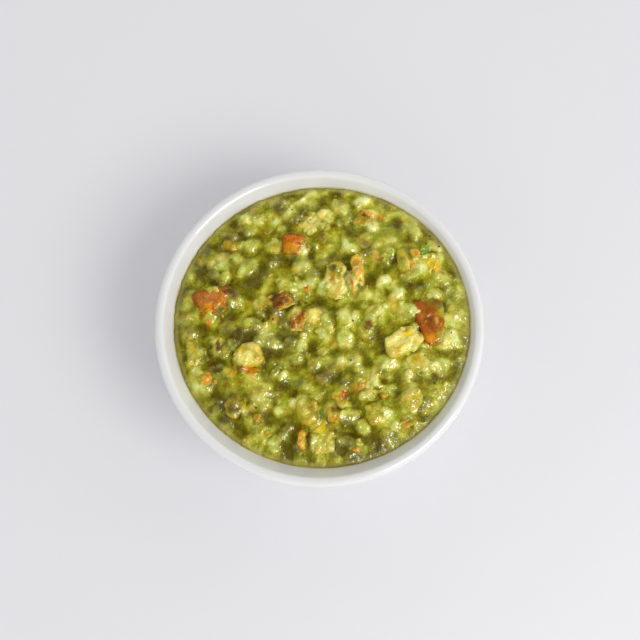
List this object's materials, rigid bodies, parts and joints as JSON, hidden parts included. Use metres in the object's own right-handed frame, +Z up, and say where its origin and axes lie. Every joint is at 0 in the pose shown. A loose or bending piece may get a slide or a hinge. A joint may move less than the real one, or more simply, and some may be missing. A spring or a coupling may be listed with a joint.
{
  "type": "bowl of guacamole",
  "caption": "Round flared white bowl on a foot ring, filled with a low lumpy mound of guacamole with avocado chunks, tomato dice and curled tomato skins.",
  "frame": {"origin": "centre of the bowl's foot ring, on the surface it stands on", "axes": "+Z up along the bowl's axis, +Y towards the far side, +X to the right"},
  "size_m": [0.115, 0.115, 0.0468],
  "materials": {
    "glaze": "smooth glossy white glaze",
    "guacamole": "wet lumpy avocado mash, olive green with darker creases",
    "avocado": "moist pale yellow-green avocado flesh",
    "tomato": "moist orange-red tomato flesh",
    "tomato_skin": "shiny red-brown tomato skin"
  },
  "bodies": {
    "root": {"bowl": "glaze", "guacamole": "guacamole", "avocado_chunk_centre": "avocado", "avocado_chunk_left": "avocado", "avocado_chunk_right": "avocado", "avocado_chunk_front": "avocado", "avocado_chunk_middle": "avocado", "avocado_chunk_side": "avocado", "avocado_chunk_back": "avocado", "avocado_chunk_corner": "avocado", "tomato_dice_back": "tomato", "tomato_wedge_left": "tomato", "tomato_flesh_right": "tomato", "tomato_strip_centre": "tomato", "tomato_skin_upper": "tomato_skin", "tomato_skin_lower": "tomato_skin", "tomato_skin_back": "tomato_skin"}
  },
  "joints": []
}
